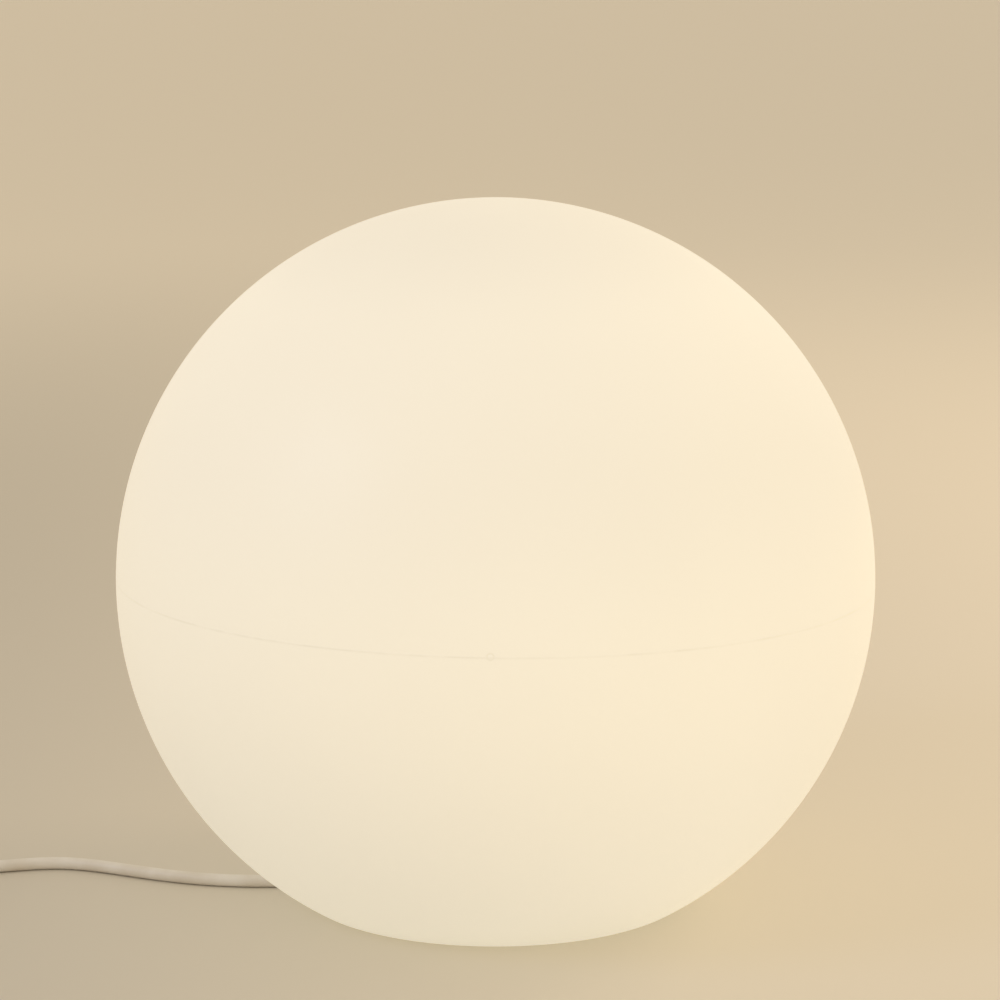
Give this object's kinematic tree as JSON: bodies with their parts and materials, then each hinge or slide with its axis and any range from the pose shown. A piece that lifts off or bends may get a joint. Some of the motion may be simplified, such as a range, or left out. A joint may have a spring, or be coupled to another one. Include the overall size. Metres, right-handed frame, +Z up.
{
  "type": "garden globe light",
  "caption": "Ball-shaped opal garden light on a flat foot, with a screw-in lamp on a bayonet-locked carrier, a gland, a lead and a two-pin plug.",
  "frame": {"origin": "middle of the foot's flat face, on the ground", "axes": "+Z up through the ball's middle, -Y to the front, -X to the side where the cord leaves"},
  "size_m": [0.6086, 0.4014, 0.371],
  "materials": {
    "opal_plastic": "satin, translucent, lit from inside",
    "white_plastic": "moulded",
    "grey_plastic": "moulded",
    "seal_rubber": "matt",
    "zinc_steel": "zinc plated",
    "brass": "drawn",
    "ceramic": "glazed ceramic",
    "terminal_plastic": "moulded",
    "brown_wire": "wire insulation",
    "blue_wire": "wire insulation",
    "cord_grey": "smooth flexible sheath",
    "solder": "solder",
    "cap_insulator": "glassy",
    "cap_metal": "bright",
    "lamp_white": "gloss",
    "board_aluminium": "white solder mask",
    "led_yellow": "phosphor",
    "board_green": "circuit board",
    "capacitor_black": "sleeved can",
    "lamp_diffuser": "milky, lit",
    "plug_plastic": "moulded",
    "nickel": "nickel plated"
  },
  "bodies": {
    "light": {"globe_shell": "opal_plastic", "carrier_plate": "white_plastic", "neck_gasket": "seal_rubber", "wiring_cover": "white_plastic", "cover_gasket": "seal_rubber", "cover_screws": "zinc_steel", "gland_body": "grey_plastic", "gland_locknut": "grey_plastic", "gland_seal": "seal_rubber", "gland_nut": "grey_plastic", "cord_inner": "cord_grey", "cord_clamp": "white_plastic", "clamp_screws": "zinc_steel", "terminal_block": "terminal_plastic", "terminal_screws": "zinc_steel", "block_screw": "zinc_steel", "supply_wire_live": "brown_wire", "supply_wire_neutral": "blue_wire", "lamp_wire_live": "brown_wire", "lamp_wire_neutral": "blue_wire", "holder_nipple": "zinc_steel", "nipple_nut": "zinc_steel", "lampholder_base": "white_plastic", "holder_insert": "ceramic", "holder_terminal_screws": "brass", "lampholder_sleeve": "white_plastic", "screw_shell": "brass", "centre_contact": "brass", "cord_lead": "cord_grey", "cord_coil": "cord_grey", "cord_tail": "cord_grey", "plug_strain_relief": "plug_plastic", "plug_body": "plug_plastic", "plug_pins": "nickel"},
    "ring": {"locking_ring": "grey_plastic"},
    "lamp_tip": {"bulb_contact_tip": "solder"},
    "lamp": {"bulb_cap_insulator": "cap_insulator", "bulb_screw_cap": "cap_metal", "bulb_housing": "lamp_white", "led_board": "board_aluminium", "led_chips": "led_yellow", "driver_board": "board_green", "driver_capacitor": "capacitor_black", "bulb_diffuser": "lamp_diffuser"}
  },
  "joints": [
    {"name": "locking_ring_turn", "type": "hinge", "parent": "light", "child": "ring", "pos_m": [0, 0, 0.0285], "axis": [0, 0, 1], "range_deg": [0, 60]},
    {"name": "lamp_travel", "type": "slide", "parent": "light", "child": "lamp_tip", "axis": [0, 0, 1], "range_m": [0, 0.01815]},
    {"name": "lamp_turn", "type": "hinge", "parent": "lamp_tip", "child": "lamp", "pos_m": [0, 0, 0.1], "axis": [0, 0, 1], "range_deg": [0, 1800]}
  ],
  "couplings": [
    {"joint": "lamp_travel", "follows": "lamp_turn", "m_per_rad": 0.00057757}
  ]
}
